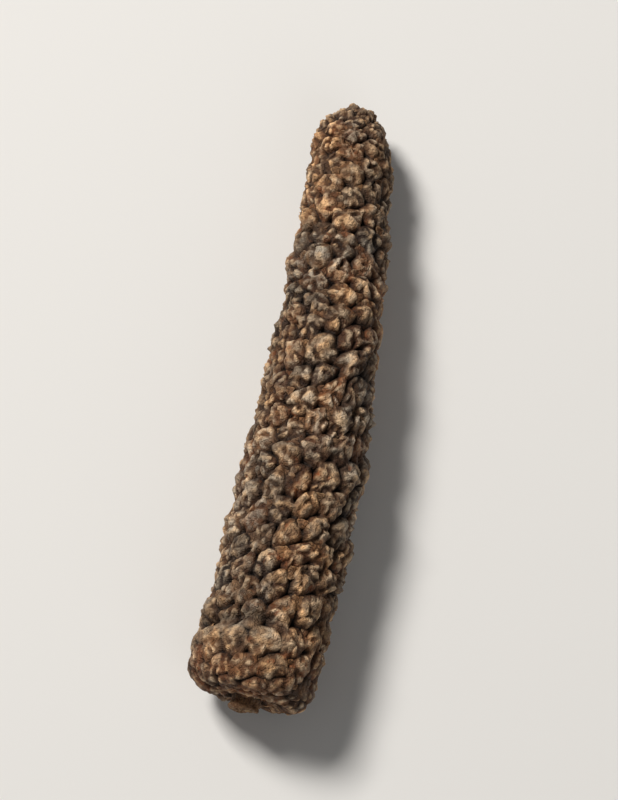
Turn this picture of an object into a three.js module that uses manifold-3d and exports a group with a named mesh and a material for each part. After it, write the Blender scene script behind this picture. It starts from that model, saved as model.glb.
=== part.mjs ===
// Dried long pepper: one fruiting spike with the stump of its stalk, lying on its side as picked and dried.
// Millimetres, +Z up. The spike lies along X with its stalk end at -X and its tip at +X, and bows gently towards -Y.
// The origin is the middle of its footprint, on the surface that it rests on.
//
// The spike is one grown piece: several hundred small fruitlets are fused round a central stem. They sit in five rows that
// wind round it side by side from the stalk to the tip, and they have pushed each other to even distances. Every fruitlet is a low knob whose foot is the outline that its neighbours leave it.

import * as THREE from 'three';
import { ConvexHull } from 'three/addons/math/ConvexHull.js';
import { mergeVertices } from 'three/addons/utils/BufferGeometryUtils.js';
import Module from 'manifold-3d';

// ---- driving dimensions (mm, degrees)
const SPIKE_LENGTH = 42.0; // from the shoulder at the stalk to the tip, along the stem
const THICKEST_RADIUS = 4.3; // over the fruitlets
const THICKEST_AT = 8.0; // from the shoulder
const TAPER = 0.66; // radius lost TAPER_OVER mm beyond the thickest place
const TAPER_OVER = 21.0;
const BASE_DOME = 2.1; // length of the blunt rounded stalk end
const BASE_DOME_POWER = 3.0;
const TIP_DOME = 3.4; // length of the rounded tip
const STALK_RADIUS = 0.95;
const STALK_LENGTH = 0.3; // broken stump beyond the shoulder
const STALK_CORNER = 0.12; // worn edge of the break
const STALK_FLARE = 0.12; // length of the flare at its foot
const SHOULDER_RADIUS = 1.4; // where the stump has flared into the spike
const BOW = 12.0; // total turn of the stem, in the plane of the surface it lies on
const TIP_LIFT = 0.35; // how far the tip curls clear of the surface
const TIP_LIFT_FROM = 33.0;
const FRUITLET_PITCH = 2.1; // between neighbouring fruitlets
const ROW_STARTS = 5; // rows that wind round the spike side by side
const FIRST_ROW = 0.45; // from the shoulder to the middle of the first fruitlets
const SETTLING = 30; // rounds of pushing between neighbours
const FRUITLET_DEPTH = 0.54; // knob over furrow
const CROWN_REACH = 0.52; // how far a knob's top spreads towards the furrows
const CROWN_DROP = 0.06; // and how much it has fallen there
const REST_FLAT = 0.18; // how much the lowest knobs are flattened where the spike lay
const CENTRE = [20.7426, -0.5610]; // middle of the footprint in the stem's own frame

const rad = THREE.MathUtils.degToRad;
const smoothstep = THREE.MathUtils.smoothstep;

// ---- outline of the spike: radius over the fruitlets against distance along the stem
const bodyRadius = (s) => THICKEST_RADIUS - TAPER * ((s - THICKEST_AT) / TAPER_OVER) ** 2;

function outline() {
	const points = [];
	const add = (s, r) => points.push([s, r]);
	// the broken end of the stump, its worn edge, and its side
	for (let i = 0; i < 8; i++) add(-STALK_LENGTH, ((STALK_RADIUS - STALK_CORNER) * i) / 8);
	for (let i = 0; i <= 8; i++) {
		const a = (Math.PI / 2) * (i / 8);
		add(-STALK_LENGTH + STALK_CORNER * (1 - Math.cos(a)), STALK_RADIUS - STALK_CORNER * (1 - Math.sin(a)));
	}
	// the blunt end of the spike: where the superellipse reaches the shoulder's radius, the stump's flare meets it
	const dome = (a) => {
		const s = BASE_DOME * (1 - Math.cos(a) ** (2 / BASE_DOME_POWER));
		return [s, bodyRadius(s) * Math.sin(a) ** (2 / BASE_DOME_POWER)];
	};
	let low = 0;
	while (dome(low)[1] < SHOULDER_RADIUS) low += 0.002;
	const [shoulderS] = dome(low);
	const flare = new THREE.CubicBezierCurve(
		new THREE.Vector2(-STALK_FLARE, STALK_RADIUS),
		new THREE.Vector2(-STALK_FLARE / 3, STALK_RADIUS),
		new THREE.Vector2(shoulderS - STALK_FLARE / 6, STALK_RADIUS + 0.15),
		new THREE.Vector2(shoulderS, SHOULDER_RADIUS),
	);
	for (let i = 1; i <= 12; i++) add(-STALK_LENGTH + STALK_CORNER + ((STALK_LENGTH - STALK_CORNER - STALK_FLARE) * i) / 12, STALK_RADIUS);
	for (let i = 1; i < 24; i++) {
		const p = flare.getPoint(i / 24);
		add(p.x, p.y);
	}
	const shoulderIndex = points.length;
	for (let i = 0; i < 80; i++) add(...dome(low + (Math.PI / 2 - low) * (i / 80)));
	// the long body, then the rounded tip
	const tipFrom = SPIKE_LENGTH - TIP_DOME;
	for (let i = 0; i < 300; i++) {
		const s = BASE_DOME + (tipFrom - BASE_DOME) * (i / 300);
		add(s, bodyRadius(s));
	}
	for (let i = 0; i <= 120; i++) {
		const a = (Math.PI / 2) * (i / 120);
		const s = tipFrom + TIP_DOME * Math.sin(a);
		add(s, i === 120 ? 0 : bodyRadius(s) * Math.cos(a));
	}
	// running length u, slope, and the coordinate v in which the surface is a conformal copy of a round ball
	const n = points.length;
	const rows = points.map(([s, r]) => ({ s, r, u: 0, v: 0 }));
	for (let i = 1; i < n; i++) {
		const a = rows[i - 1];
		const b = rows[i];
		b.u = a.u + Math.hypot(b.s - a.s, b.r - a.r);
	}
	for (let i = 2; i < n - 1; i++) {
		const a = rows[i - 1];
		const b = rows[i];
		b.v = a.v + (b.u - a.u) / ((a.r + b.r) / 2);
	}
	const middle = rows[n - 2].v / 2;
	for (const row of rows) row.v -= middle;
	rows[0].v = -Infinity;
	rows[n - 1].v = Infinity;
	return { rows, shoulder: rows[shoulderIndex].u };
}

const { rows: OUTLINE, shoulder: SHOULDER_U } = outline();

// the outline at running length u, or at conformal height v
function along(key, value) {
	let low = 0;
	let high = OUTLINE.length - 1;
	while (high - low > 1) {
		const mid = (low + high) >> 1;
		if (OUTLINE[mid][key] <= value) low = mid;
		else high = mid;
	}
	const a = OUTLINE[low];
	const b = OUTLINE[high];
	let t = (value - a[key]) / (b[key] - a[key]);
	if (!Number.isFinite(t)) t = a.r < b.r ? 1 : 0;
	const du = b.u - a.u;
	return {
		s: a.s + (b.s - a.s) * t,
		r: a.r + (b.r - a.r) * t,
		u: a.u + du * t,
		v: a.v + (b.v - a.v) * t,
		normalS: -(b.r - a.r) / du,
		normalR: (b.s - a.s) / du,
	};
}

// ---- the stem's own line, and the spike's slightly uneven section
const unevenness = (s, angle) => 0.022 * Math.cos(2 * angle + 0.9 + 0.06 * s) + 0.012 * Math.cos(3 * angle + 2.0 - 0.11 * s);

function stem(s) {
	const turn = rad(BOW) / SPIKE_LENGTH;
	const start = -rad(BOW) / 2;
	const heading = start + turn * s;
	const lift = s > TIP_LIFT_FROM ? TIP_LIFT * ((s - TIP_LIFT_FROM) / (SPIKE_LENGTH - TIP_LIFT_FROM)) ** 2 : 0;
	return {
		x: (Math.sin(heading) - Math.sin(start)) / turn,
		y: -(Math.cos(heading) - Math.cos(start)) / turn,
		z: bodyRadius(s) * (1 + unevenness(s, -Math.PI / 2)) - REST_FLAT + lift,
		heading,
	};
}

// a point of the surface, raised by height along the outline's own normal
function surfacePoint(at, angle, height) {
	const s = at.s + at.normalS * height;
	const r = (at.r + at.normalR * height) * (1 + unevenness(at.s, angle));
	const c = stem(s);
	const side = r * Math.cos(angle);
	return new THREE.Vector3(c.x - side * Math.sin(c.heading), c.y + side * Math.cos(c.heading), c.z + r * Math.sin(angle));
}

// ---- where the fruitlets sit
const pitchAt = (s) => FRUITLET_PITCH * (1 - 0.2 * smoothstep(s, SPIKE_LENGTH - 11, SPIKE_LENGTH)) * (0.88 + 0.12 * smoothstep(s, 0, 4));

const END_U = OUTLINE[OUTLINE.length - 1].u;
let places = [];
{
	const steps = 20000;
	const du = (END_U - SHOULDER_U) / steps;
	const rows = Array.from({ length: ROW_STARTS }, () => []);
	let turn = 0;
	let count = 0.5;
	for (let i = 0; i < steps; i++) {
		const u = SHOULDER_U + (i + 0.5) * du;
		const at = along('u', u);
		const pitch = pitchAt(at.s);
		const winding = (2 * Math.PI) / ((ROW_STARTS * Math.sqrt(3) * pitch) / 2);
		turn += winding * du;
		const next = count + (Math.hypot(1, winding * at.r) / pitch) * du;
		rows.forEach((row, k) => {
			if (Math.floor(next + k / ROW_STARTS) > Math.floor(count + k / ROW_STARTS)) row.push({ u, angle: turn + (2 * Math.PI * k) / ROW_STARTS });
		});
		count = next;
	}
	places = rows.flat();
}
for (let round = 0; round < SETTLING; round++) {
	const now = places.map(({ u, angle }) => {
		const at = along('u', u);
		const [c, s] = [Math.cos(angle), Math.sin(angle)];
		return { at, c, s, pitch: pitchAt(at.s), p: new THREE.Vector3(at.s, at.r * c, at.r * s) };
	});
	places = places.map(({ u, angle }, i) => {
		const me = now[i];
		const push = new THREE.Vector3();
		for (const other of now) {
			const d = me.p.distanceTo(other.p);
			const want = 0.56 * (me.pitch + other.pitch);
			if (other !== me && d < want) push.addScaledVector(me.p, (0.22 * (want - d)) / d).addScaledVector(other.p, (-0.22 * (want - d)) / d);
		}
		const outward = push.y * me.c + push.z * me.s;
		const sideways = push.z * me.c - push.y * me.s;
		return {
			u: THREE.MathUtils.clamp(u + push.x * me.at.normalR - outward * me.at.normalS, SHOULDER_U + FIRST_ROW, END_U - 0.03),
			angle: angle + sideways / Math.max(me.at.r, 0.35),
		};
	});
}
const seeds = places.map(({ u, angle }) => ({ at: along('u', u), angle, fruitlet: true }));
// plain points that carry the stump
const stumpEdge = STALK_RADIUS - STALK_CORNER;
const stumpRings = [stumpEdge, stumpEdge + (Math.PI / 2) * STALK_CORNER, SHOULDER_U - 0.2];
stumpRings.forEach((u, ring) => {
	for (let i = 0; i < 7; i++) seeds.push({ at: along('u', u), angle: ((i + 0.5 * (ring % 2)) * 2 * Math.PI) / 7, fruitlet: false });
});
seeds.push({ at: OUTLINE[0], angle: 0, fruitlet: false, pole: true });

// ---- neighbours: on the conformal ball the nearest-neighbour net of the seeds is their convex hull
const onBall = (v, angle) => (Number.isFinite(v) ? new THREE.Vector3(Math.cos(angle) / Math.cosh(v), Math.sin(angle) / Math.cosh(v), Math.tanh(v)) : new THREE.Vector3(0, 0, Math.sign(v)));
const ball = seeds.map((seed) => onBall(seed.at.v, seed.angle));
const numberOf = new Map(ball.map((p, i) => [p, i]));
const hull = new ConvexHull().setFromPoints(ball);

// ---- the surface: a round-topped knob at each seed, and the furrows' meeting point in each gap between three neighbours
const vertices = seeds.map((seed) => (seed.pole ? surfacePoint({ ...seed.at, normalS: -1, normalR: 0 }, 0, 0) : surfacePoint(seed.at, seed.angle, 0)));
function ballVertex(p, height) {
	const flat = Math.hypot(p.x, p.y);
	// inverse hyperbolic tangent of the height, written so that it stays exact close to the poles
	const v = Math.sign(p.z) * Math.log((p.length() + Math.abs(p.z)) / flat);
	vertices.push(surfacePoint(along('v', v), Math.atan2(p.y, p.x), height));
	return vertices.length - 1;
}
const gaps = new Map();
const crowns = new Map();
for (const face of hull.faces) {
	const corners = [face.edge.prev, face.edge, face.edge.next].map((e) => numberOf.get(e.head().point));
	const mid = new THREE.Vector3();
	corners.forEach((i) => mid.add(ball[i]));
	mid.normalize();
	const fruitlets = corners.filter((i) => seeds[i].fruitlet).length / 3;
	gaps.set(face, ballVertex(mid, -FRUITLET_DEPTH * (fruitlets === 1 ? 1 : 0.3 * fruitlets)));
	const rim = new Map();
	for (const i of corners) rim.set(i, ballVertex(ball[i].clone().lerp(mid, CROWN_REACH), seeds[i].fruitlet ? -CROWN_DROP : 0));
	crowns.set(face, rim);
}
const triangles = [];
for (const face of hull.faces) {
	let edge = face.edge;
	do {
		// the hull's edge runs from tail to head with this face on its left and its twin's face on its right
		const knob = numberOf.get(edge.tail().point);
		const left = gaps.get(face);
		const right = gaps.get(edge.twin.face);
		const leftRim = crowns.get(face).get(knob);
		const rightRim = crowns.get(edge.twin.face).get(knob);
		triangles.push(knob, rightRim, leftRim, rightRim, right, left, rightRim, left, leftRim);
		edge = edge.next;
	} while (edge !== face.edge);
}
const spike = new THREE.BufferGeometry().setFromPoints(vertices);
spike.setIndex(triangles);

// ---- flatten the lowest knobs on the surface that the spike rests on
const wasm = await Module();
wasm.setup();

function solid(geometry) {
	const g = geometry.clone();
	g.deleteAttribute('normal');
	g.deleteAttribute('uv');
	const merged = mergeVertices(g, 1e-5);
	return new wasm.Manifold(
		new wasm.Mesh({ numProp: 3, vertProperties: merged.attributes.position.array, triVerts: new Uint32Array(merged.index.array) }),
	);
}

const below = new THREE.BoxGeometry(80, 40, 4).translate(SPIKE_LENGTH / 2, 0, -2);
const rested = solid(spike).subtract(solid(below)).getMesh();
const geometry = new THREE.BufferGeometry();
geometry.setAttribute('position', new THREE.BufferAttribute(new Float32Array(rested.vertProperties), 3));
geometry.setIndex(new THREE.BufferAttribute(new Uint32Array(rested.triVerts), 1));
geometry.computeVertexNormals();

// ---- the part
const pepper = new THREE.Mesh(
	geometry,
	new THREE.MeshStandardMaterial({ name: 'dried_spike', color: new THREE.Color(0.39, 0.31, 0.24), roughness: 0.85, metalness: 0 }),
);
pepper.name = 'long_pepper';
pepper.position.set(-CENTRE[0], -CENTRE[1], 0);

const group = new THREE.Group();
group.name = 'long_pepper_part';
group.add(pepper);

export default group;
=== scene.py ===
import math

import bpy
import numpy as np
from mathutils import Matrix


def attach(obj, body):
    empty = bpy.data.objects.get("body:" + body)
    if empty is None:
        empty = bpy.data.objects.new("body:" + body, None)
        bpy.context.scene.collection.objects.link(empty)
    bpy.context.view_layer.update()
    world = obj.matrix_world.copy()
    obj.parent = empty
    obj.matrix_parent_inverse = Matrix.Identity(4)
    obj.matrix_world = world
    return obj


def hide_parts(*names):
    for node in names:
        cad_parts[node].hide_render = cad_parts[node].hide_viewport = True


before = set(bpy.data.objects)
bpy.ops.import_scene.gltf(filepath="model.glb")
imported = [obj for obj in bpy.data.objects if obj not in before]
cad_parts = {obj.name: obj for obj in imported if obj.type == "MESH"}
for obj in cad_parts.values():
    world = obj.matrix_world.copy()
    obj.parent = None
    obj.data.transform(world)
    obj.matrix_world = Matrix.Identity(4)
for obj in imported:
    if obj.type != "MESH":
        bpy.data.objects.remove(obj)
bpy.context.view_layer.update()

rng = np.random.default_rng(41)

# ------------------------------------------------------------------ dimensions, as in the solid (mm, degrees)
SPIKE_LENGTH = 42.0
THICKEST_RADIUS, THICKEST_AT = 4.3, 8.0
TAPER, TAPER_OVER = 0.66, 21.0
BASE_DOME, BASE_DOME_POWER = 2.1, 3.0
TIP_DOME = 3.4
STALK_RADIUS, STALK_LENGTH, STALK_CORNER, STALK_FLARE = 0.95, 0.3, 0.12, 0.12
SHOULDER_RADIUS = 1.4
BOW = math.radians(12.0)
TIP_LIFT, TIP_LIFT_FROM = 0.35, 33.0
FRUITLET_PITCH = 2.1
REST_FLAT = 0.18
ROW_STARTS = 5
FIRST_ROW = 0.45
SETTLING = 30
CENTRE = (20.7426, -0.5610)

# ------------------------------------------------------------------ small tools
PERM = np.tile(rng.permutation(256), 3)
GRAD = rng.normal(size=(256, 3))
GRAD /= np.linalg.norm(GRAD, axis=1)[:, None]


def noise(p, scale, shift=0.0):
    """Gradient noise of about -1 to 1 at the points p, with features about scale across."""
    q = np.asarray(p, float) / scale + shift
    cell = np.floor(q).astype(int)
    f = q - cell
    w = f * f * f * (f * (f * 6 - 15) + 10)
    out = np.zeros(len(q))
    for dx in (0, 1):
        for dy in (0, 1):
            for dz in (0, 1):
                h = PERM[(cell[:, 0] + dx) & 255]
                h = PERM[(h + cell[:, 1] + dy) & 255]
                h = PERM[(h + cell[:, 2] + dz) & 255]
                d = f - np.array((dx, dy, dz))
                weight = (w[:, 0] if dx else 1 - w[:, 0]) * (w[:, 1] if dy else 1 - w[:, 1]) * (w[:, 2] if dz else 1 - w[:, 2])
                out += weight * (GRAD[h] * d).sum(1)
    return out * 1.6


def smoothstep(x, low, high):
    t = np.clip((np.asarray(x, float) - low) / (high - low), 0, 1)
    return t * t * (3 - 2 * t)


# ------------------------------------------------------------------ outline of the spike
def body_radius(s):
    return THICKEST_RADIUS - TAPER * ((s - THICKEST_AT) / TAPER_OVER) ** 2


def make_outline():
    near = 0.04 * 0.5 ** np.arange(14, 0, -1)
    rows = [(-STALK_LENGTH, r) for r in near]
    edge = STALK_RADIUS - STALK_CORNER
    rows += [(-STALK_LENGTH, r) for r in np.linspace(0.04, edge, 20)]
    for a in np.linspace(0, math.pi / 2, 12)[1:]:
        rows.append((-STALK_LENGTH + STALK_CORNER * (1 - math.cos(a)), STALK_RADIUS - STALK_CORNER * (1 - math.sin(a))))
    side = np.linspace(-STALK_LENGTH + STALK_CORNER, -STALK_FLARE, 12)[1:]
    rows += [(s, STALK_RADIUS) for s in side]

    def dome(a):
        s = BASE_DOME * (1 - math.cos(a) ** (2 / BASE_DOME_POWER))
        return s, body_radius(s) * math.sin(a) ** (2 / BASE_DOME_POWER)

    low = 0.0
    while dome(low)[1] < SHOULDER_RADIUS:
        low += 0.002
    shoulder_s = dome(low)[0]
    ends = np.array(((-STALK_FLARE, STALK_RADIUS), (-STALK_FLARE / 3, STALK_RADIUS), (shoulder_s - STALK_FLARE / 6, STALK_RADIUS + 0.15), (shoulder_s, SHOULDER_RADIUS)))
    for t in np.linspace(0, 1, 25)[1:-1]:
        weights = np.array(((1 - t) ** 3, 3 * t * (1 - t) ** 2, 3 * t * t * (1 - t), t**3))
        rows.append(tuple(weights @ ends))
    shoulder = len(rows)
    rows += [dome(a) for a in np.linspace(low, math.pi / 2, 120)[:-1]]
    tip_from = SPIKE_LENGTH - TIP_DOME
    rows += [(s, body_radius(s)) for s in np.linspace(BASE_DOME, tip_from, 500)[:-1]]
    angles = list(np.linspace(0, math.pi / 2 - 0.012, 150)) + [math.pi / 2 - 0.012 * 0.5**k for k in range(1, 15)]
    for a in angles:
        s = tip_from + TIP_DOME * math.sin(a)
        rows.append((s, body_radius(s) * math.cos(a)))
    s, r = np.array(rows).T
    du = np.hypot(np.diff(s), np.diff(r))
    u = np.concatenate(((0.0,), np.cumsum(du)))
    ratio = np.log(r[1:] / r[:-1])
    dv = np.where(np.abs(ratio) > 1e-6, du * ratio / np.where(np.abs(ratio) > 1e-6, np.diff(r), 1), 2 * du / (r[1:] + r[:-1]))
    v = np.concatenate(((0.0,), np.cumsum(dv)))
    middle = (v[40] + np.interp(u[-1] - 0.04, u, v)) / 2
    v -= middle
    # slopes, from differences between neighbouring rows of this table
    ns = -np.gradient(r, u)
    nr = np.gradient(s, u)
    length = np.hypot(ns, nr)
    return s, r, u, v, ns / length, nr / length, u[shoulder]


OUT_S, OUT_R, OUT_U, OUT_V, OUT_NS, OUT_NR, SHOULDER_U = make_outline()
END_U = OUT_U[-1]


def at_u(u):
    return [np.interp(u, OUT_U, column) for column in (OUT_S, OUT_R, OUT_NS, OUT_NR)]


def unevenness(s, angle):
    return 0.022 * np.cos(2 * angle + 0.9 + 0.06 * s) + 0.012 * np.cos(3 * angle + 2.0 - 0.11 * s)


def stem(s):
    turn = BOW / SPIKE_LENGTH
    start = -BOW / 2
    heading = start + turn * s
    lift = np.where(s > TIP_LIFT_FROM, TIP_LIFT * ((s - TIP_LIFT_FROM) / (SPIKE_LENGTH - TIP_LIFT_FROM)) ** 2, 0)
    x = (np.sin(heading) - math.sin(start)) / turn
    y = -(np.cos(heading) - math.cos(start)) / turn
    z = body_radius(s) * (1 + unevenness(s, -math.pi / 2)) - REST_FLAT + lift
    return x, y, z, heading


def surface(u, angle, height=0.0, along=0.0, around=0.0):
    """Points of the spike's surface at running length u and angle, raised by height along the outline's normal, and
    slid by along (towards the tip) and around (anticlockwise seen from the tip), all in mm."""
    s, r, ns, nr = at_u(u)
    uneven = 1 + unevenness(s, angle)
    s2 = s + ns * height + nr * along
    r2 = (r + nr * height - ns * along) * uneven
    x, y, z, heading = stem(s2)
    out, up = r2 * np.cos(angle), r2 * np.sin(angle)
    out = out - around * np.sin(angle)
    up = up + around * np.cos(angle)
    return np.stack((x - out * np.sin(heading) - CENTRE[0], y + out * np.cos(heading) - CENTRE[1], z + up), 1)


# ------------------------------------------------------------------ where the fruitlets sit
def pitch_at(s):
    return FRUITLET_PITCH * (1 - 0.2 * smoothstep(s, SPIKE_LENGTH - 11, SPIKE_LENGTH)) * (0.88 + 0.12 * smoothstep(s, 0, 4))


# five rows wind round the spike side by side from the stalk to the tip, and then each fruitlet is pushed by its neighbours
# until their distances are even
steps = 20000
mid_u = SHOULDER_U + (END_U - SHOULDER_U) * (np.arange(steps) + 0.5) / steps
mid_s, mid_r, _, _ = at_u(mid_u)
step = (END_U - SHOULDER_U) / steps
pitch = pitch_at(mid_s)
winding = 2 * math.pi / (ROW_STARTS * math.sqrt(3) / 2 * pitch)
turn = np.cumsum(winding * step)
count = 0.5 + np.cumsum(np.hypot(1, winding * mid_r) / pitch * step)
row_u, row_angle = [], []
for k in range(ROW_STARTS):
    hit = np.flatnonzero(np.diff(np.floor(count + k / ROW_STARTS)) > 0) + 1
    row_u.append(mid_u[hit])
    row_angle.append(turn[hit] + 2 * math.pi * k / ROW_STARTS)
seed_u, seed_angle = np.concatenate(row_u), np.concatenate(row_angle)
fruitlets = len(seed_u)
for _ in range(SETTLING):
    s, r, ns, nr = at_u(seed_u)
    place = np.stack((s, r * np.cos(seed_angle), r * np.sin(seed_angle)), 1)
    pitch = pitch_at(s)
    apart = place[:, None, :] - place[None, :, :]
    d = np.sqrt((apart**2).sum(2)) + np.eye(fruitlets) * 99
    push = np.maximum(0, 0.56 * (pitch[:, None] + pitch[None, :]) - d) * 0.22 / d
    push = (apart * push[:, :, None]).sum(1)
    outward = push[:, 1] * np.cos(seed_angle) + push[:, 2] * np.sin(seed_angle)
    seed_u = np.clip(seed_u + push[:, 0] * nr - outward * ns, SHOULDER_U + FIRST_ROW, END_U - 0.03)
    seed_angle = seed_angle + (push[:, 2] * np.cos(seed_angle) - push[:, 1] * np.sin(seed_angle)) / np.maximum(r, 0.35)
# rows wander a little, and each fruitlet has its own place in its row
s, r, _, _ = at_u(seed_u)
place = surface(seed_u, seed_angle)
pitch = pitch_at(s)
free = smoothstep(seed_u, SHOULDER_U, SHOULDER_U + 2.5) * smoothstep(END_U - seed_u, 0.3, 3.0)
seed_u = seed_u + free * (0.24 * noise(place, 6.0, 3.1) + 0.10 * pitch * rng.normal(size=fruitlets).clip(-2, 2))
seed_angle = seed_angle + free * (0.24 * noise(place, 6.0, 9.7) + 0.10 * pitch * rng.normal(size=fruitlets).clip(-2, 2)) / np.maximum(r, 0.6)

edge_u = STALK_RADIUS - STALK_CORNER
seed_u = np.append(seed_u, np.full(7, edge_u + 0.16))
seed_angle = np.append(seed_angle, np.arange(7) * 2 * math.pi / 7)
seed_u = np.append(seed_u, 0.0)
seed_angle = np.append(seed_angle, 0.0)
SEEDS = len(seed_u)
is_fruit = np.arange(SEEDS) < fruitlets


# ------------------------------------------------------------------ their neighbours, on a conformal ball
def ball_point(u, angle):
    v = np.interp(u, OUT_U, OUT_V)
    return np.stack((np.cos(angle) / np.cosh(v), np.sin(angle) / np.cosh(v), np.tanh(v)), 1)


def ball_place(p):
    flat = np.maximum(np.hypot(p[:, 0], p[:, 1]), 1e-12)
    z = p[:, 2] / np.linalg.norm(p, axis=1)
    # a height's inverse hyperbolic tangent, from the distance to the pole's axis where that is the exact one
    v = np.sign(z) * np.log((1 + np.abs(z)) / (flat / np.linalg.norm(p, axis=1)))
    return np.interp(v, OUT_V, OUT_U), np.arctan2(p[:, 1], p[:, 0])


ball = ball_point(seed_u, seed_angle)
ball[-1] = (0, 0, -1)


def hull_of(points):
    """Triangles of the convex hull of points on a ball, all facing out."""
    first = [len(points) - 1]
    first.append(int(np.argmax(points[:, 2])))
    belt = np.argsort(np.abs(points[:, 2]))[:80]
    first.append(int(belt[np.argmax(points[belt, 0])]))
    first.append(int(belt[np.argmin((points[belt, :2] @ np.array((0.8, 0.6))))]))
    centre = points[first].mean(0)
    faces = []
    for skip in range(4):
        a, b, c = [first[k] for k in range(4) if k != skip]
        n = np.cross(points[b] - points[a], points[c] - points[a])
        faces.append((a, b, c) if n @ (points[a] - centre) > 0 else (a, c, b))
    faces = np.array(faces)
    for i in [k for k in range(len(points)) if k not in first]:
        a, b, c = points[faces[:, 0]], points[faces[:, 1]], points[faces[:, 2]]
        seen = np.einsum("ij,ij->i", np.cross(b - a, c - a), points[i] - a) > 0
        cut = faces[seen]
        edges = {(int(f[k]), int(f[(k + 1) % 3])) for f in cut for k in range(3)}
        rim = [e for e in edges if (e[1], e[0]) not in edges]
        faces = np.concatenate((faces[~seen], np.array([(e[0], e[1], i) for e in sorted(rim)])))
    return faces


faces = hull_of(ball)
FACES = len(faces)
assert FACES == 2 * SEEDS - 4

# ------------------------------------------------------------------ the fine surface: each fruitlet is a fan of kites, whose outer sides are its furrows
N = 7
corner_next = np.roll(faces, -1, axis=1)
half = np.stack((faces, corner_next), 2)  # half edge k of a face runs from its corner k to the next
low_high = np.sort(half.reshape(-1, 2), axis=1)
edges, edge_of = np.unique(low_high, axis=0, return_inverse=True)
edge_of = edge_of.reshape(FACES, 3)
EDGES = len(edges)
side_of = (faces != edges[edge_of][:, :, 0]).astype(int)  # which end of its next edge a corner is
prev_edge = np.roll(edge_of, 1, axis=1)
prev_side = (faces != edges[prev_edge][:, :, 0]).astype(int)

mid_ball = ball[edges].sum(1)
mid_ball /= np.linalg.norm(mid_ball, axis=1)[:, None]
gap_ball = ball[faces].sum(1)
gap_ball /= np.linalg.norm(gap_ball, axis=1)[:, None]

base_edge = SEEDS + FACES
base_spoke = base_edge + EDGES
base_rim = base_spoke + 2 * EDGES * (N - 1)
base_in = base_rim + 3 * FACES * (N - 1)
VERTS = base_in + 3 * FACES * (N - 1) ** 2

t = np.arange(N + 1) / N
warp = 1 - (1 - t) ** 1.1  # rows closer together towards the furrow
ids = np.zeros((FACES, 3, N + 1, N + 1), int)
ids[:, :, 0, 0] = faces
ids[:, :, N, 0] = base_edge + edge_of
ids[:, :, 0, N] = base_edge + prev_edge
ids[:, :, N, N] = SEEDS + np.arange(FACES)[:, None]
for k in range(1, N):
    ids[:, :, k, 0] = base_spoke + (edge_of * 2 + side_of) * (N - 1) + k - 1
    ids[:, :, 0, k] = base_spoke + (prev_edge * 2 + prev_side) * (N - 1) + k - 1
    rim = base_rim + np.arange(3 * FACES).reshape(FACES, 3) * (N - 1) + k - 1
    ids[:, :, N, k] = rim
    ids[:, :, k, N] = np.roll(rim, 1, axis=1)
inner = base_in + np.arange(3 * FACES).reshape(FACES, 3)[:, :, None] * (N - 1) ** 2 + np.arange((N - 1) ** 2)
ids[:, :, 1:N, 1:N] = inner.reshape(FACES, 3, N - 1, N - 1)

a = warp[:, None] * np.ones(N + 1)
b = warp[None, :] * np.ones((N + 1, 1))
grid = (
    ((1 - a) * (1 - b))[None, None, :, :, None] * ball[faces][:, :, None, None, :]
    + (a * (1 - b))[None, None, :, :, None] * mid_ball[edge_of][:, :, None, None, :]
    + (a * b)[None, None, :, :, None] * gap_ball[:, None, None, None, :]
    + ((1 - a) * b)[None, None, :, :, None] * mid_ball[prev_edge][:, :, None, None, :]
)
on_ball = np.zeros((VERTS, 3))
on_ball[ids.ravel()] = grid.reshape(-1, 3)
vert_a, vert_b = np.zeros(VERTS), np.zeros(VERTS)
full = np.broadcast_to(a, ids.shape)
vert_a[ids.ravel()] = full.ravel()
vert_b[ids.ravel()] = np.broadcast_to(b, ids.shape).ravel()
owner = np.zeros(VERTS, int)
owner[ids.ravel()] = np.broadcast_to(faces[:, :, None, None], ids.shape).ravel()
quads = np.stack((ids[:, :, :-1, :-1], ids[:, :, 1:, :-1], ids[:, :, 1:, 1:], ids[:, :, :-1, 1:]), -1).reshape(-1, 4)

# shares of the seeds that meet at a vertex, for what blends across a furrow
meet = np.zeros(VERTS)
np.add.at(meet, ids.ravel(), 1.0)


def blended(per_seed):
    total = np.zeros(VERTS)
    np.add.at(total, ids.ravel(), np.broadcast_to(per_seed[faces][:, :, None, None], ids.shape).ravel())
    return total / meet


u, angle = ball_place(on_ball)
vs, vr, vns, vnr = at_u(u)
flat_place = surface(u, angle)
seed_place = surface(seed_u, seed_angle)
fruit_share = blended(is_fruit.astype(float))
local_pitch = pitch_at(vs)
size = local_pitch / 2.0  # the forms below are those of a fruitlet 2 mm across

# ------------------------------------------------------------------ relief
bump = (1 - vert_a**2) * (1 - vert_b**2)
tall = rng.normal(0.97, 0.13, SEEDS).clip(0.62, 1.12)
tall = np.where(rng.random(SEEDS) < 0.05, rng.uniform(0.58, 0.75, SEEDS), tall)
lean_s = rng.normal(0.08, 0.06, SEEDS)
lean_t = rng.normal(0.0, 0.06, SEEDS)

# how far two neighbours have grown together, and how deep the gaps between three are
joined = 0.2 + 0.48 * rng.random(EDGES)
joined = np.where(rng.random(EDGES) < 0.18, rng.uniform(0.68, 0.95, EDGES), joined)
gap_floor = rng.uniform(-0.3, 0.02, FACES)
foot = np.zeros(VERTS)
foot[ids.ravel()] = (
    joined[edge_of][:, :, None, None] * (a**2 * (1 - b**1.5))
    + joined[prev_edge][:, :, None, None] * (b**2 * (1 - a**1.5))
    + gap_floor[:, None, None, None] * (a * b) ** 1.5
).ravel()

DEPTH = 0.86 * size
dome = bump**0.62
rise = foot + (1 - foot) * tall[owner] * dome
height = DEPTH * (rise - 1.0) + 0.04
along = lean_s[owner] * bump * size
around = lean_t[owner] * bump * size

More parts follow.
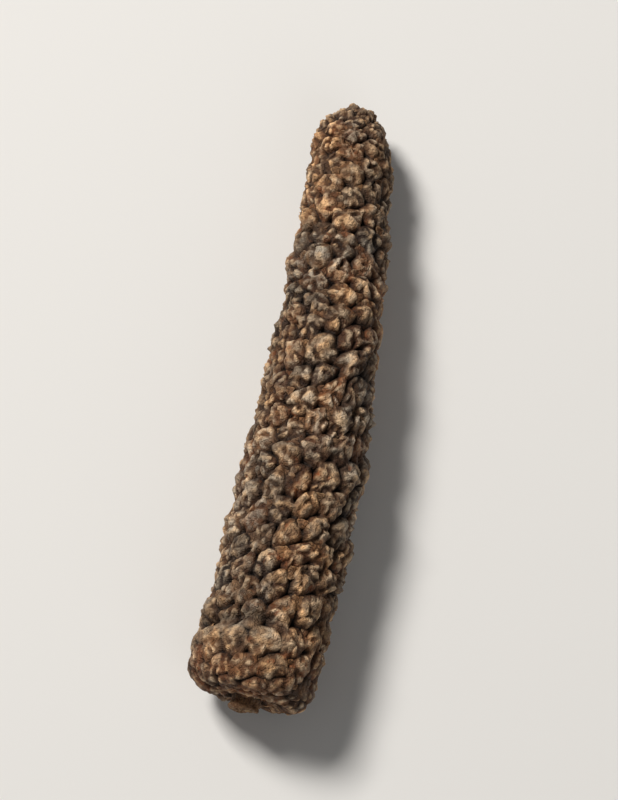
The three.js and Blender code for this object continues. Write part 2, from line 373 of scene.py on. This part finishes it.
# each fruitlet's own form, in polar places round its middle: a sunken, folded or nippled top, and puckered flanks
seed_up = surface(seed_u, seed_angle, np.full(SEEDS, 0.1)) - seed_place
seed_up /= np.linalg.norm(seed_up, axis=1)[:, None]
seed_way = surface(seed_u + 0.05, seed_angle) - seed_place
seed_way -= (seed_way * seed_up).sum(1)[:, None] * seed_up
seed_way /= np.linalg.norm(seed_way, axis=1)[:, None]
seed_side = np.cross(seed_up, seed_way)
off = flat_place - seed_place[owner]
hub_x = (off * seed_way[owner]).sum(1) / size - rng.normal(0, 0.15, SEEDS)[owner]
hub_y = (off * seed_side[owner]).sum(1) / size - rng.normal(0, 0.15, SEEDS)[owner]
hub = np.hypot(hub_x, hub_y)
phi = np.arctan2(hub_y, hub_x)
swing = rng.uniform(0, 2 * math.pi, (3, SEEDS))
lobed = 1 + 0.28 * np.cos(2 * phi - swing[0][owner]) + 0.2 * np.cos(3 * phi - swing[1][owner]) + 0.12 * np.cos(5 * phi - swing[2][owner])
inside_cell = smoothstep(bump, 0.0, 0.3)
pitted = rng.random(SEEDS) < 0.42
pit_r = rng.uniform(0.22, 0.38, SEEDS)[owner]
pit = np.where(pitted[owner], (1 - smoothstep(hub / (pit_r * lobed), 0.3, 1.3)) * rng.uniform(0.12, 0.29, SEEDS)[owner], 0.0)
rim = np.where(pitted[owner], np.exp(-(((hub - pit_r * lobed * 1.35) / 0.16) ** 2)), 0.0) * rng.uniform(0.02, 0.07, SEEDS)[owner]
nipple = np.exp(-((hub / 0.11) ** 2)) * np.where(pitted, rng.uniform(0.0, 0.09, SEEDS), 0.06)[owner]
# drying has drawn it into a few uneven lobes
lobes = rng.integers(3, 6, SEEDS)
fold = np.zeros(VERTS)
for k in range(5):
    ray = (swing[0] + 2 * math.pi * k / lobes + rng.normal(0, 0.3, SEEDS))[owner]
    deep = (np.where(k < lobes, rng.uniform(0.05, 0.25, SEEDS), 0.0))[owner]
    out = hub_x * np.cos(ray) + hub_y * np.sin(ray)
    off_ray = hub_y * np.cos(ray) - hub_x * np.sin(ray) + 0.08 * np.sin(5 * out + swing[1][owner])
    line = np.exp(-((off_ray / 0.15) ** 2)) * smoothstep(out, -0.1, 0.22) * (1 - smoothstep(out, 0.8, 1.2))
    fold = np.maximum(fold, deep * line)
dent_x = hub_x - (rng.uniform(0.25, 0.5, SEEDS) * np.cos(swing[2]))[owner]
dent_y = hub_y - (rng.uniform(0.25, 0.5, SEEDS) * np.sin(swing[2]))[owner]
dent = np.where(pitted[owner], 0.0, 1 - smoothstep(np.hypot(dent_x, dent_y) / rng.uniform(0.25, 0.42, SEEDS)[owner], 0.2, 1.2)) * rng.uniform(0.06, 0.21, SEEDS)[owner]
height += (nipple + rim - pit - dent - fold) * size * inside_cell
polar = np.stack((0.55 * np.cos(phi) + 0.3 * hub_x, 0.55 * np.sin(phi) + 0.3 * hub_y, 0.77 * owner), 1)
pucker = noise(polar, 0.34, 2.9) * smoothstep(hub, 0.15, 0.45)
# shrivelled skin: winding creases between small swellings
bent = flat_place + 0.14 * np.stack([noise(flat_place, 0.9, shift) for shift in (1.3, 5.9, 8.1)], 1)
winding = np.exp(-((noise(bent, 0.95, 1.7) / 0.17) ** 2)) * smoothstep(noise(flat_place, 1.7, 6.3), -0.5, 0.3)
winding_fine = np.exp(-((noise(bent, 0.5, 7.7) / 0.2) ** 2))
shrivel = 0.11 * pucker + 0.1 * noise(flat_place, 0.75, 4.1) + 0.05 * noise(flat_place, 0.38, 5.2) - 0.11 * winding - 0.06 * winding_fine
height += shrivel * (0.25 + 0.75 * smoothstep(bump, 0.0, 0.5))

# ------------------------------------------------------------------ the whole spike's shape: shallow dents, a crease round the stalk end, a hollow round the stump
form = 0.15 * noise(flat_place, 6.5, 4.4) + 0.22 * noise(flat_place, 3.6, 8.8)
crease_at = 4.5 + 0.45 * np.sin(angle * 1.0 - 0.7) + 0.42 * noise(flat_place, 2.2, 6.1)
crease_side = 0.2 + 0.8 * (1 - smoothstep(np.abs((angle - 1.0 + math.pi) % (2 * math.pi) - math.pi), 0.75, 1.3))
crease = np.exp(-(((vs - crease_at) / 0.34) ** 2)) * crease_side * (0.75 + 0.35 * noise(flat_place, 1.9, 2.7))
collar = np.exp(-(((vs - crease_at + 1.0) / 0.55) ** 4)) * (crease_side - 0.2) / 0.8
form += -0.5 * crease + 0.14 * collar
face_r = np.where(vs < 1.6, vr, 99.0)
form += -0.32 * np.exp(-(((face_r - 1.75) / 0.5) ** 2))
form *= smoothstep(u, SHOULDER_U - 0.6, SHOULDER_U + 0.3)
# on the stalk's side of the crease the fruitlets have run together in a smoother collar, and those below it are small and shrunken
stunted = smoothstep(crease_at - vs, 0.5, 1.6)
lines = np.stack((np.cos(angle + 0.25 * vs) * 4.0, np.sin(angle + 0.25 * vs) * 4.0, 0.4 * u), 1)
relief = (height * (1 - 0.75 * collar) * (1 - 0.3 * stunted) - 0.06 * collar + 0.09 * stunted * noise(lines, 0.6, 3.6)) * fruit_share
height = relief + form

# the stump: a torn, fibrous end with strands in a ring round its pith, and a ribbed side that stands in a hollow
stump = 1 - smoothstep(u, SHOULDER_U - 0.55, SHOULDER_U - 0.2)
cross = np.stack((vr * np.cos(angle), vr * np.sin(angle), np.zeros(VERTS)), 1)
fibres = (0.11 * noise(cross, 0.34, 3.3) + 0.06 * noise(cross, 0.15, 7.9)) * (1 - 0.6 * smoothstep(vr, 0.65, 0.92))
torn = 1 - smoothstep(u, 0.75, 1.15)
round_way = np.stack((np.cos(angle), np.sin(angle), np.zeros(VERTS)), 1)
strands = np.exp(-(((vr - 0.62 - 0.16 * noise(round_way, 0.5, 4.7)) / 0.14) ** 2)) * smoothstep(noise(round_way, 0.4, 9.1), -0.15, 0.3)
core = np.exp(-((np.hypot(cross[:, 0] - 0.1, cross[:, 1] + 0.07) / (0.33 + 0.12 * noise(cross, 0.45, 1.2))) ** 2))
slant = 0.10 * np.clip(vr / STALK_RADIUS, 0, 1) * np.cos(angle - 0.6)
height += torn * (fibres + 0.06 * strands - 0.3 * core + 0.2 * noise(cross, 0.8, 2.0) + slant + 0.06)
ribs = np.stack((np.cos(angle) * 1.0, np.sin(angle) * 1.0, 0.16 * u), 1)
height += stump * (1 - torn) * (0.13 * noise(ribs, 0.8, 3.9) + 0.06 * noise(ribs, 0.2, 6.6) + 0.03 * noise(ribs, 0.1, 1.1))
# the fruitlets round the edge of the blunt end are worn
base_edge_u = OUT_U[np.argmin(np.abs(OUT_NS + 0.7) + (OUT_U < SHOULDER_U) + (OUT_U > SHOULDER_U + 8))]
worn_edge = np.exp(-(((u - base_edge_u) / 1.0) ** 2))
height -= 0.75 * worn_edge * np.maximum(height + 0.1, 0)
along *= 1 - 0.7 * worn_edge
around *= 1 - 0.7 * worn_edge
moat = smoothstep(u, 1.04, 1.3) * (1 - fruit_share) * (u < 8)
height -= 0.6 * moat

points = surface(u, angle, height, along, around)
# it rests on its lowest fruitlets, which have been pressed flat
points[:, 2] = 0.5 * (points[:, 2] + np.sqrt(points[:, 2] ** 2 + 0.05**2))

# ------------------------------------------------------------------ what the material reads
side_a = np.concatenate((quads[:, 0], quads[:, 1], quads[:, 2], quads[:, 3]))
side_b = np.concatenate((quads[:, 1], quads[:, 2], quads[:, 3], quads[:, 0]))
sides = np.bincount(side_a, minlength=VERTS) + np.bincount(side_b, minlength=VERTS)


def spread(values, times):
    for _ in range(times):
        values = (np.bincount(side_a, values[side_b], VERTS) + np.bincount(side_b, values[side_a], VERTS)) / sides
    return values


# how far a place stands out of what is close round it, which the colour turns into painted shade in sunk places and
# into painted highlight with wear on proud ones
stands = relief - spread(relief, 12)
proud = 0.5 + 0.5 * np.clip(stands / np.where(stands > 0, 0.15, 0.31), -1, 1)
# the collar is painted paler still, as painted highlight on its edge
proud = np.clip(proud + 0.34 * collar, 0, 1)
crown = np.clip(rise, 0, 1.2) * fruit_share
tone = blended(np.where(is_fruit, rng.normal(0.5, 0.38, SEEDS).clip(0, 1), 0.5))
warm = blended(np.where(rng.random(SEEDS) < 0.25, rng.uniform(0.6, 1.0, SEEDS), rng.uniform(0.0, 0.35, SEEDS)))
# the pith is dark; the sunken fibres round it are painted darker, as painted shade
pith_and_fibre_shade = np.clip(core + 0.45 * np.clip(-fibres / 0.12, 0, 1), 0, 1) * torn
bundle = strands * torn
# pits, dents and folds, painted darker as painted shade
pit_shade = np.clip(pit / 0.24 + 0.6 * dent / 0.2 + 0.5 * fold / 0.2, 0, 1) * is_fruit[owner] * inside_cell
dot = np.exp(-((hub / 0.11) ** 2)) * is_fruit[owner] * inside_cell * rng.uniform(0.0, 1.0, SEEDS)[owner]
# hollow: where the furrows, the crease and the moat round the stump are painted near black, as painted shade
hollow = np.clip(1 - crown / 0.6, 0, 1) * fruit_share
hollow = np.maximum(hollow, 0.75 * np.clip(crease, 0, 1) * fruit_share)
hollow = np.maximum(hollow, np.clip(1.3 * moat, 0, 1))

mesh = bpy.data.meshes.new("long_pepper_skin")
mesh.vertices.add(VERTS)
mesh.vertices.foreach_set("co", (points / 1000).astype(np.float32).ravel())
mesh.loops.add(quads.size)
mesh.loops.foreach_set("vertex_index", quads.astype(np.int32).ravel())
mesh.polygons.add(len(quads))
mesh.polygons.foreach_set("loop_start", np.arange(0, quads.size, 4, dtype=np.int32))
mesh.polygons.foreach_set("use_smooth", np.ones(len(quads), bool))
mesh.update(calc_edges=True)
mesh.validate()


def attribute(name, values):
    made = mesh.attributes.new(name, "FLOAT", "POINT")
    made.data.foreach_set("value", np.asarray(values, np.float32))


for name, values in (
    ("hollow", hollow),
    ("tone", tone),
    ("warm", warm),
    ("proud", proud),
    ("pit_shade", pit_shade),
    ("dot", dot),
    ("stump", stump),
    ("pith_and_fibre_shade", pith_and_fibre_shade),
    ("bundle", bundle),
):
    attribute(name, values)

# one map without overlaps: the long body unrolled, and its two ends as discs
TIP_CAP, BASE_CAP = END_U - 3.2, SHOULDER_U + 2.2
quad_u = u[quads].mean(1)
ref = angle[quads[:, :1]]
turned = angle[quads] - ref
turned = (turned + math.pi) % (2 * math.pi) - math.pi
start = (ref + math.pi / 2) % (2 * math.pi)
uv = np.zeros((len(quads), 4, 2))
uv[:, :, 0] = 0.015 + 0.70 * (start + turned) / (2 * math.pi)
uv[:, :, 1] = 0.012 + 0.976 * (u[quads] - BASE_CAP) / (TIP_CAP - BASE_CAP)
scale = 0.0255
for chosen, centre, distance in ((quad_u > TIP_CAP, (0.865, 0.70), END_U - u), (quad_u < BASE_CAP, (0.865, 0.28), u)):
    cap = quads[chosen]
    uv[chosen, :, 0] = centre[0] + scale * distance[cap] * np.cos(angle[cap])
    uv[chosen, :, 1] = centre[1] + scale * distance[cap] * np.sin(angle[cap])
layer = mesh.uv_layers.new(name="OFBake")
layer.uv.foreach_set("vector", uv.astype(np.float32).ravel())

pepper = bpy.data.objects.new("long_pepper_skin", mesh)
bpy.context.scene.collection.objects.link(pepper)

# ------------------------------------------------------------------ small shield-shaped scales, each on a short stalk in the gap on the stalk side of its fruitlet
gap_u, gap_angle = ball_place(gap_ball)
gap_place = surface(gap_u, gap_angle)
gap_s, gap_r, _, _ = at_u(gap_u)
gap_way = surface(gap_u + 0.05, gap_angle) - gap_place
gap_way /= np.linalg.norm(gap_way, axis=1)[:, None]
top = np.full(SEEDS, -9.0)
np.maximum.at(top, owner, relief)
best = {}
for f in np.flatnonzero(is_fruit[faces].all(1)):
    for i in faces[f]:
        lag = (seed_place[i] - gap_place[f]) @ gap_way[f]
        if lag > best.get(int(i), (0.0, -1))[0]:
            best[int(i)] = (lag, int(f))
scale_gaps = [f for f in sorted({f for _, f in best.values()}) if rng.random() < 0.6]
SCALES = len(scale_gaps)
SEGMENTS = 16
# a scale's section, from the middle of its face over its edge and back to its stalk: reach, and height in half thicknesses
SECTION = ((0.3, 1.0), (0.56, 1.0), (0.8, 0.95), (0.95, 0.6), (1.0, 0.0), (0.93, -0.75), (0.62, -1.0), (0.32, -1.6), (0.24, None))
RING = len(SECTION)
EACH = RING * SEGMENTS + 2
scale_co = np.zeros((SCALES, EACH, 3))
scale_up = np.zeros((SCALES, EACH, 3))
scale_edge = np.zeros((SCALES, EACH))
scale_tone = np.repeat(rng.random(SCALES)[:, None], EACH, 1)
turn = np.arange(SEGMENTS) * 2 * math.pi / SEGMENTS
for k, f in enumerate(scale_gaps):
    grow = pitch_at(gap_s[f]) / 2.0
    level = min(rng.uniform(-0.56, -0.32) * grow, top[faces[f]].min() - 0.42 * grow)
    down = level - relief[SEEDS + f] + 0.06  # from its face to the bottom of the gap
    middle = surface(gap_u[f : f + 1], gap_angle[f : f + 1], np.array((level + form[SEEDS + f],)))[0]
    up = surface(gap_u[f : f + 1], gap_angle[f : f + 1], np.array((level + form[SEEDS + f] + 0.1,)))[0] - middle
    up /= np.linalg.norm(up)
    way = gap_way[f]
    lean = rng.normal((-0.06, 0.0), 0.09).clip(-0.2, 0.16)
    face_up = up + lean[0] * way + lean[1] * np.cross(up, way)
    face_up /= np.linalg.norm(face_up)
    way = way - (way @ face_up) * face_up
    way /= np.linalg.norm(way)
    across = np.cross(face_up, way)
    spread_out = rng.uniform(0.26, 0.46) * grow
    long, wide = spread_out * rng.uniform(0.85, 1.05), spread_out * rng.uniform(1.0, 1.2)
    ragged = 1 + 0.14 * np.cos(3 * (turn - math.pi)) + rng.normal(0, 0.05, SEGMENTS)
    ragged += 0.09 * np.cos(2 * turn + rng.uniform(0, 6.28)) + 0.06 * np.cos(4 * turn + rng.uniform(0, 6.28))
    boss, curl = rng.uniform(-0.08, 0.14) * grow, rng.normal(0.0, 0.05) * grow
    twist, twist_at = rng.normal(0, 0.05) * grow, rng.uniform(0, 6.28)
    thick = rng.uniform(0.04, 0.07)
    rows = []
    for reach, lift in SECTION:
        out = np.full(SEGMENTS, reach) if lift is None else reach * ragged
        if lift is None:
            z = np.full(SEGMENTS, -down)
        else:
            z = thick * lift + boss * (1 - reach**2) + curl * reach**2 + twist * reach**2 * np.cos(2 * turn + twist_at)
        flat = middle + (long * out * np.cos(turn))[:, None] * way + (wide * out * np.sin(turn))[:, None] * across
        rows.append(flat + z[:, None] * (up if lift is None else face_up))
        ring = slice(len(rows) * SEGMENTS - SEGMENTS, len(rows) * SEGMENTS)
        scale_edge[k, ring] = reach if lift is not None and lift >= 0 else -reach
        scale_up[k, ring] = 0.0 if lift is None else face_up * (0.4 + 0.6 * reach)
    scale_co[k, :-2] = np.concatenate(rows)
    scale_co[k, -2] = middle + (thick + boss) * face_up
    scale_up[k, -2] = 0.4 * face_up
    scale_co[k, -1] = middle - down * up
    scale_edge[k, -1] = -0.2
crumple = 0.11 * noise(scale_co.reshape(-1, 3), 0.36, 2.2) + 0.04 * noise(scale_co.reshape(-1, 3), 0.2, 5.5)
scale_co += crumple.reshape(SCALES, EACH, 1) * scale_up
scale_co[:, :, 2] = 0.5 * (scale_co[:, :, 2] + np.sqrt(scale_co[:, :, 2] ** 2 + 0.05**2))
first = []
for q in range(SEGMENTS):
    nxt = (q + 1) % SEGMENTS
    first.append((EACH - 2, q, nxt, -1))
    for ring in range(RING - 1):
        first.append((ring * SEGMENTS + q, (ring + 1) * SEGMENTS + q, (ring + 1) * SEGMENTS + nxt, ring * SEGMENTS + nxt))
    first.append((EACH - 1, (RING - 1) * SEGMENTS + nxt, (RING - 1) * SEGMENTS + q, -1))
scale_faces = [tuple(k * EACH + i for i in face if i >= 0) for k in range(SCALES) for face in first]
scale_mesh = bpy.data.meshes.new("long_pepper_scales")
scale_mesh.from_pydata((scale_co.reshape(-1, 3) / 1000).tolist(), [], scale_faces)
scale_mesh.polygons.foreach_set("use_smooth", np.ones(len(scale_faces), bool))
for name, values in (("scale_tone", scale_tone), ("scale_edge", scale_edge)):
    made = scale_mesh.attributes.new(name, "FLOAT", "POINT")
    made.data.foreach_set("value", values.astype(np.float32).ravel())
# each scale's face and back are two discs of its map
CELLS = math.ceil(math.sqrt(2 * SCALES))
scale_uv = np.zeros((sum(len(face) for face in scale_faces), 2), np.float32)
corner = 0
for k in range(SCALES):
    for face in first:
        face = [i for i in face if i >= 0]
        back = min(face) >= 4 * SEGMENTS and EACH - 2 not in face
        cell = 2 * k + back
        for i in face:
            ring = 0 if i == EACH - 2 else RING if i == EACH - 1 else i // SEGMENTS + 1
            q = 0.0 if i >= EACH - 2 else turn[i % SEGMENTS]
            reach = (RING - i // SEGMENTS) / (RING - 4) if back else ring / 5
            reach = 0.0 if i >= EACH - 2 else 0.45 * reach
            scale_uv[corner] = ((cell % CELLS + 0.5 + reach * math.cos(q)) / CELLS, (cell // CELLS + 0.5 + reach * math.sin(q) * (-1 if back else 1)) / CELLS)
            corner += 1
layer = scale_mesh.uv_layers.new(name="OFBake")
layer.uv.foreach_set("vector", scale_uv.ravel())
scales = bpy.data.objects.new("long_pepper_scales", scale_mesh)
bpy.context.scene.collection.objects.link(scales)


# ------------------------------------------------------------------ material
def srgb(r, g, b):
    return tuple(c / 12.92 if c <= 0.04045 else ((c + 0.055) / 1.055) ** 2.4 for c in (r / 255, g / 255, b / 255)) + (1.0,)


tree = coordinates = None


def begin(name):
    global tree, coordinates
    made = bpy.data.materials.new(name)
    made.use_nodes = True
    tree = made.node_tree
    for old in list(tree.nodes):
        tree.nodes.remove(old)
    coordinates = node("ShaderNodeTexCoord").outputs["Object"]
    return made


def node(kind, **values):
    made = tree.nodes.new(kind)
    for key, value in values.items():
        setattr(made, key, value)
    return made


def link(a, b):
    tree.links.new(a, b)


def attr(name):
    return node("ShaderNodeAttribute", attribute_name=name).outputs["Fac"]


def math_node(operation, first, second=None, third=None, clamp=False):
    made = node("ShaderNodeMath", operation=operation, use_clamp=clamp)
    for socket, value in zip(made.inputs, (first, second, third)):
        if value is None:
            continue
        if isinstance(value, (int, float)):
            socket.default_value = value
        else:
            link(value, socket)
    return made.outputs[0]


def mix(factor, first, second, blend="MIX"):
    made = node("ShaderNodeMix", data_type="RGBA", blend_type=blend, clamp_factor=True)
    for socket, value in ((made.inputs[0], factor), (made.inputs[6], first), (made.inputs[7], second)):
        if isinstance(value, (int, float)):
            socket.default_value = value
        elif isinstance(value, tuple):
            socket.default_value = value
        else:
            link(value, socket)
    return made.outputs[2]


def grain(scale_mm, detail=2.0, rough=0.5, low=0.35, high=0.65):
    made = node("ShaderNodeTexNoise", noise_dimensions="3D")
    made.inputs["Scale"].default_value = 1000.0 / scale_mm
    made.inputs["Detail"].default_value = detail
    made.inputs["Roughness"].default_value = rough
    link(coordinates, made.inputs["Vector"])
    return ramp(made.outputs["Fac"], low, high)


def ramp(value, low, high):
    made = node("ShaderNodeMapRange", interpolation_type="SMOOTHSTEP")
    made.inputs["From Min"].default_value = low
    made.inputs["From Max"].default_value = high
    link(value, made.inputs["Value"])
    return made.outputs["Result"]


def times(first, second):
    return math_node("MULTIPLY", first, second)


def wrinkled(scale_mm, width):
    """Fine creases: 0 along lines that wind through the surface, 1 between them."""
    made = node("ShaderNodeTexNoise", noise_dimensions="3D")
    made.inputs["Scale"].default_value = 1000.0 / scale_mm
    made.inputs["Detail"].default_value = 1.0
    made.inputs["Roughness"].default_value = 0.5
    link(coordinates, made.inputs["Vector"])
    return ramp(math_node("ABSOLUTE", math_node("SUBTRACT", made.outputs["Fac"], 0.5)), 0.0, width)


def tinted(colour, scale_mm, amount):
    tint = mix(grain(scale_mm, 2.0, 0.55, 0.36, 0.64), (0.90, 0.99, 1.11, 1.0), (1.15, 0.99, 0.80, 1.0))
    return mix(amount, colour, tint, "MULTIPLY")


def end(colour, rough, relief_height, distance):
    shader = node("ShaderNodeBsdfPrincipled")
    link(colour, shader.inputs["Base Color"])
    link(rough, shader.inputs["Roughness"])
    shader.inputs["Specular IOR Level"].default_value = 0.3
    bumped = node("ShaderNodeBump")
    bumped.inputs["Strength"].default_value = 1.0
    bumped.inputs["Distance"].default_value = distance
    link(relief_height, bumped.inputs["Height"])
    link(bumped.outputs["Normal"], shader.inputs["Normal"])
    output = node("ShaderNodeOutputMaterial")
    link(shader.outputs["BSDF"], output.inputs["Surface"])


skin = begin("dried_spike_skin")
patch = grain(6.0, 2.0, 0.5, 0.32, 0.68)  # broad patches along the spike
mottle = grain(0.9, 3.0, 0.6, 0.3, 0.7)
speck = grain(0.22, 2.0, 0.6, 0.40, 0.66)
fine = grain(0.09, 2.0, 0.6, 0.3, 0.7)
fleck = grain(0.7, 1.0, 0.5, 0.46, 0.62)
rust = grain(1.1, 2.0, 0.6, 0.60, 0.70)
creased = wrinkled(0.42, 0.10)
creased_fine = wrinkled(0.2, 0.12)
# fruitlet skin: dark brown to grey brown, each fruitlet its own shade
body = mix(attr("tone"), srgb(62, 42, 28), srgb(127, 94, 65))
body = mix(times(attr("warm"), 0.65), body, srgb(136, 82, 46))
body = mix(times(patch, 0.42), body, srgb(92, 77, 64))
body = mix(times(mottle, 0.45), body, srgb(58, 41, 29))
body = mix(times(rust, 0.6), body, srgb(138, 84, 50))
# painted shade along the fine creases
body = mix(math_node("MULTIPLY_ADD", creased, -0.38, 0.38), body, srgb(44, 30, 21))
# painted shade: what is sunk is painted dark; what stands out is painted pale, partly as worn dust and partly as
# painted highlight
body = mix(times(ramp(attr("proud"), 0.55, 0.1), 0.85), body, srgb(32, 21, 14))
worn_and_highlight = times(ramp(attr("proud"), 0.5, 0.92), math_node("MULTIPLY_ADD", fleck, 0.55, math_node("MULTIPLY_ADD", speck, 0.3, 0.22)))
body = mix(times(worn_and_highlight, 0.95), body, srgb(220, 192, 159))
# painted shade in sunken, dented and folded tops, and the scar of the style
body = mix(times(attr("pit_shade"), 0.33), body, srgb(38, 26, 18))
body = mix(times(attr("dot"), 0.6), body, srgb(160, 120, 80))
# painted shade in the furrows, the crease round the stalk end and the hollow round the stump
body = mix(times(math_node("POWER", attr("hollow"), 0.7), math_node("MULTIPLY_ADD", grain(1.4, 2.0, 0.5, 0.36, 0.6), 0.45, 0.55)), body, srgb(20, 13, 9))
# some places are browner and some greyer, over the whole spike and in small flecks
body = mix(0.8, body, mix(grain(3.8, 1.0, 0.5, 0.34, 0.66), (0.66, 0.66, 0.66, 1.0), (1.3, 1.3, 1.3, 1.0)), "MULTIPLY")
body = mix(0.8, body, mix(grain(2.3, 1.0, 0.5, 0.34, 0.66), (0.82, 0.82, 0.82, 1.0), (1.17, 1.17, 1.17, 1.0)), "MULTIPLY")
body = tinted(body, 7.0, 0.7)
body = tinted(body, 0.8, 0.7)
# stump
wood = mix(speck, srgb(116, 82, 55), srgb(166, 128, 92))
wood = mix(times(mottle, 0.5), wood, srgb(84, 58, 38))
wood = mix(times(attr("bundle"), 0.6), wood, srgb(204, 172, 128))
wood = mix(times(attr("pith_and_fibre_shade"), 0.92), wood, srgb(30, 20, 13))
body = mix(attr("stump"), body, wood)
skin_relief = math_node("MULTIPLY_ADD", creased, 0.45, math_node("MULTIPLY_ADD", creased_fine, 0.2, math_node("MULTIPLY_ADD", speck, 0.25, times(fine, 0.1))))
end(body, math_node("MULTIPLY_ADD", speck, 0.18, 0.62), skin_relief, 0.00012)
mesh.materials.append(skin)

husk = begin("dried_spike_scales")
mottle = grain(0.5, 3.0, 0.6, 0.3, 0.7)
fine = grain(0.08, 2.0, 0.6, 0.3, 0.7)
creased = wrinkled(0.3, 0.11)
body = mix(attr("scale_tone"), srgb(104, 66, 41), srgb(156, 123, 90))
body = mix(times(mottle, 0.6), body, srgb(66, 45, 31))
# painted shade along the scale's fine creases
body = mix(math_node("MULTIPLY_ADD", creased, -0.5, 0.5), body, srgb(44, 30, 21))
body = mix(times(ramp(attr("scale_edge"), 0.6, 1.0), times(mottle, 0.7)), body, srgb(190, 161, 128))
body = mix(times(fine, 0.25), body, srgb(110, 80, 56))
# the scale's underside and stalk painted darker, as painted shade
body = mix(ramp(attr("scale_edge"), 0.0, -0.6), body, srgb(80, 56, 39))
body = tinted(body, 7.0, 0.7)
body = tinted(body, 0.8, 0.6)
end(body, math_node("MULTIPLY_ADD", fine, 0.15, 0.65), math_node("MULTIPLY_ADD", creased, 0.7, times(fine, 0.3)), 0.00008)
scale_mesh.materials.append(husk)

for piece in (pepper, scales):
    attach(piece, "root")
    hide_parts("long_pepper")

# ------------------------------------------------------------------ floor, light and camera
floor_mesh = bpy.data.meshes.new("floor")
floor_mesh.from_pydata([(-2, -2, 0), (2, -2, 0), (2, 2, 0), (-2, 2, 0)], [], [(0, 1, 2, 3)])
floor = bpy.data.objects.new("floor", floor_mesh)
bpy.context.scene.collection.objects.link(floor)
paint = bpy.data.materials.new("floor_paint")
paint.use_nodes = True
paint.node_tree.nodes["Principled BSDF"].inputs["Base Color"].default_value = (0.80, 0.79, 0.77, 1)
paint.node_tree.nodes["Principled BSDF"].inputs["Roughness"].default_value = 0.9
floor_mesh.materials.append(paint)

world = bpy.data.worlds.new("studio")
world.use_nodes = True
world.node_tree.nodes["Background"].inputs["Color"].default_value = (1.0, 0.99, 0.97, 1)
world.node_tree.nodes["Background"].inputs["Strength"].default_value = 0.12
bpy.context.scene.world = world
bpy.context.scene.view_settings.view_transform = "Standard"


def aim(obj, target):
    way = np.array(target) - np.array(obj.location)
    obj.rotation_euler = (math.atan2(math.hypot(way[0], way[1]), -way[2]), 0, math.atan2(way[1], way[0]) - math.pi / 2)


def softbox(name, place, target, size, power, colour):
    lamp = bpy.data.lights.new(name, "AREA")
    lamp.shape = "RECTANGLE"
    lamp.size, lamp.size_y = size
    lamp.energy = power
    lamp.color = colour
    made = bpy.data.objects.new(name, lamp)
    made.location = place
    bpy.context.scene.collection.objects.link(made)
    aim(made, target)


softbox("key", (0.21, 0.29, 0.46), (0, 0, 0), (0.16, 0.16), 3.55, (1.0, 0.97, 0.93))
softbox("fill", (-0.35, -0.30, 0.35), (0, 0, 0), (0.4, 0.4), 0.35, (0.95, 0.97, 1.0))

AZIMUTH, ELEVATION = math.radians(-80.0), math.radians(74.0)
target = np.array((0.0, 0.0, 0.0038))
forward = np.array((-math.sin(AZIMUTH) * math.cos(ELEVATION), math.cos(AZIMUTH) * math.cos(ELEVATION), -math.sin(ELEVATION)))
lens = bpy.data.cameras.new("camera")
lens.sensor_width = 36
lens.lens = 150
lens.clip_start, lens.clip_end = 0.01, 10
view_height = 0.0525
distance = view_height * lens.lens / lens.sensor_width
camera = bpy.data.objects.new("camera", lens)
camera.location = target - forward * distance
bpy.context.scene.collection.objects.link(camera)
aim(camera, target)
bpy.context.scene.camera = camera
